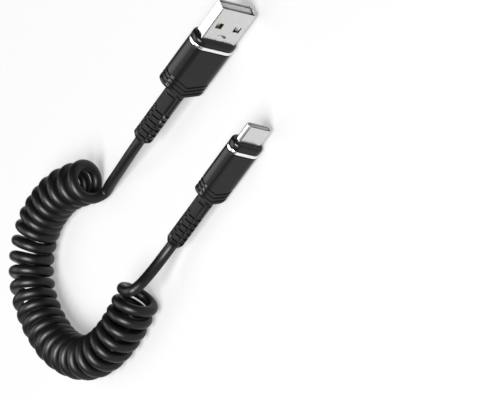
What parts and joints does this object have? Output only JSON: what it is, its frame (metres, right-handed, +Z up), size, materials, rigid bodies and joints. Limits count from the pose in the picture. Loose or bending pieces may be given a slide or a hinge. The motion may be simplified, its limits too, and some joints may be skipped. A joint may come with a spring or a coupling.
{
  "type": "coiled usb-a to usb-c cable",
  "caption": "Curly charging and data cable: a springy coil of round cord with a straight tail, a strain relief and a slim moulded plug at each end, USB-A and USB-C.",
  "frame": {"origin": "bottom centre of the box around the two plugs, on the surface that the cable lies on", "axes": "+X along both plugs, towards their tips; +Y from the USB-C plug towards the USB-A plug; +Z up, across the plugs' wide faces, which stand on a narrow edge"},
  "size_m": [0.1279, 0.0748, 0.0149],
  "materials": {
    "plug_steel": "nickel-plated drawn steel, satin",
    "tongue_plastic": "white moulded insulator",
    "contact_gold": "gold-plated contacts",
    "grip_plastic": "black moulded plastic, semi-gloss",
    "trim_chrome": "polished bright trim",
    "relief_rubber": "black flexible moulding, satin",
    "insulator_plastic": "pale grey moulded insulator",
    "cord_jacket": "black thermoplastic jacket, satin"
  },
  "bodies": {
    "root": {"usb_a_shell": "plug_steel", "usb_a_tongue": "tongue_plastic", "usb_a_contact_1": "contact_gold", "usb_a_contact_2": "contact_gold", "usb_a_contact_3": "contact_gold", "usb_a_contact_4": "contact_gold", "usb_a_nose": "grip_plastic", "usb_a_trim_ring": "trim_chrome", "usb_a_grip": "grip_plastic", "usb_a_strain_relief": "relief_rubber", "usb_c_shell": "plug_steel", "usb_c_insulator": "insulator_plastic", "usb_c_nose": "grip_plastic", "usb_c_trim_ring": "trim_chrome", "usb_c_grip": "grip_plastic", "usb_c_strain_relief": "relief_rubber", "cord_tail_usb_a": "cord_jacket", "cord_coil": "cord_jacket", "cord_tail_usb_c": "cord_jacket"}
  },
  "joints": []
}
